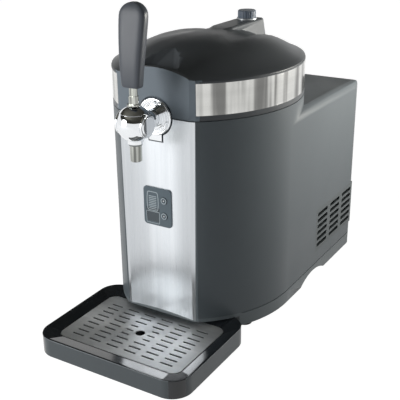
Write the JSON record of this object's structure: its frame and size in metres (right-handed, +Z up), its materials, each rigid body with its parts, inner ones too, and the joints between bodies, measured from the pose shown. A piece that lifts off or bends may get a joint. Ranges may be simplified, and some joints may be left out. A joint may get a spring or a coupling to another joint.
{
  "type": "mini keg beer dispenser",
  "caption": "Counter-top cooler and dispenser for a small beer keg: oval drum with hinged lid, steel front, lever tap, control plate, side vents and a pull-out drip tray.",
  "frame": {"origin": "on the keg chamber's axis at table level", "axes": "+Z up, the tap and drip tray at -Y, +X to the right of someone who faces the machine's front"},
  "size_m": [0.25, 0.5198, 0.4487],
  "materials": {
    "shell_plastic": "satin moulded slate-grey ABS with a fine even texture",
    "base_plastic": "satin moulded dark grey ABS",
    "lid_plastic": "satin moulded charcoal ABS",
    "foot_rubber": "moulded black rubber",
    "brushed_sheet": "brushed stainless sheet, grain along the height",
    "chamber_aluminium": "drawn and anodised aluminium",
    "foam": "rigid polyurethane foam, cast cream",
    "bulkhead_steel": "zinc plated steel sheet",
    "cast_aluminium": "machined aluminium",
    "ceramic_white": "fired alumina plates",
    "fan_plastic": "moulded glass filled nylon",
    "board_green": "glass epoxy board with green solder mask",
    "component_dark": "moulded component bodies",
    "screw_steel": "zinc plated steel",
    "plate_plastic": "satin moulded slate-blue plastic",
    "window_clear": "clear acrylic over a grey liquid crystal cell",
    "button_plastic": "satin moulded plastic",
    "liner_plastic": "vacuum formed white polystyrene",
    "seal_rubber": "extruded grey silicone rubber",
    "pin_steel": "ground stainless rod",
    "knob_plastic": "smoky blue-grey moulded plastic",
    "collar_metal": "satin anodised aluminium",
    "brass": "machined brass",
    "cartridge_steel": "drawn steel, zinc plated",
    "chrome": "polished chrome plating",
    "lever_plastic": "satin moulded dark grey plastic",
    "tray_plastic": "satin moulded slate-grey ABS",
    "tube_plastic": "food grade polyethylene"
  },
  "bodies": {
    "body": {"housing": "shell_plastic", "base": "base_plastic", "feet": "foot_rubber", "front_panel": "brushed_sheet", "chamber": "chamber_aluminium", "insulation": "foam", "bulkhead": "bulkhead_steel", "cold_block": "cast_aluminium", "peltier": "ceramic_white", "heat_sink": "cast_aluminium", "fan_frame": "fan_plastic", "power_board": "board_green", "power_parts": "component_dark", "mains_inlet": "fan_plastic", "rear_grille": "base_plastic", "rear_screws": "screw_steel", "side_vents": "shell_plastic", "control_plate": "plate_plastic", "display_window": "window_clear", "control_board": "board_green", "hinge_pin": "pin_steel", "tap_flange": "chrome", "tap_shank": "chrome", "tap_body": "chrome", "tap_bonnet": "chrome", "tap_end_caps": "chrome", "pivot_pin": "pin_steel", "spout": "chrome", "riser_head": "chrome", "dip_tube": "tube_plastic", "keg_seal": "seal_rubber"},
    "fan": {"fan_rotor": "fan_plastic"},
    "upper_button": {"button_upper": "button_plastic"},
    "lower_button": {"button_lower": "button_plastic"},
    "lid": {"lid_cover": "lid_plastic", "lid_band": "brushed_sheet", "lid_liner": "liner_plastic", "lid_seal": "seal_rubber", "knob_collar": "collar_metal", "regulator": "brass", "gas_cartridge": "cartridge_steel"},
    "gas_knob": {"knob": "knob_plastic"},
    "lever": {"lever_hub": "pin_steel", "lever_stem": "chrome", "lever_handle": "lever_plastic"},
    "plunger": {"tap_plunger": "pin_steel"},
    "tray": {"drip_tray": "tray_plastic"},
    "grille": {"drip_grille": "brushed_sheet"}
  },
  "joints": [
    {"name": "lid_hinge", "type": "hinge", "parent": "body", "child": "lid", "pos_m": [0, 0.157, 0.297], "axis": [-1, 0, 0], "range_deg": [0, 80]},
    {"name": "gas_knob_turn", "type": "hinge", "parent": "lid", "child": "gas_knob", "pos_m": [0, 0.1045, 0.396], "axis": [0, 0, 1], "range_deg": [0, 270]},
    {"name": "tap_lever", "type": "hinge", "parent": "body", "child": "lever", "pos_m": [0, -0.177, 0.3065], "axis": [1, 0, 0], "range_deg": [0, 30]},
    {"name": "tap_plunger_slide", "type": "slide", "parent": "body", "child": "plunger", "axis": [0, 1, 0], "range_m": [0, 0.00262]},
    {"name": "upper_button_press", "type": "slide", "parent": "body", "child": "upper_button", "axis": [0, 1, 0], "range_m": [0, 0.0009], "stiffness_N_per_m": 300},
    {"name": "lower_button_press", "type": "slide", "parent": "body", "child": "lower_button", "axis": [0, 1, 0], "range_m": [0, 0.0009], "stiffness_N_per_m": 300},
    {"name": "drip_tray_slide", "type": "slide", "parent": "body", "child": "tray", "axis": [0, -1, 0], "range_m": [0, 0.095]},
    {"name": "drip_grille_tilt", "type": "hinge", "parent": "tray", "child": "grille", "pos_m": [0, -0.12, 0.0195], "axis": [-1, 0, 0], "range_deg": [0, 18]},
    {"name": "fan_spin", "type": "hinge", "parent": "body", "child": "fan", "pos_m": [0, 0.165, 0.18], "axis": [0, 1, 0], "continuous": true}
  ],
  "couplings": [
    {"joint": "tap_plunger_slide", "follows": "tap_lever", "m_per_rad": 0.005}
  ]
}
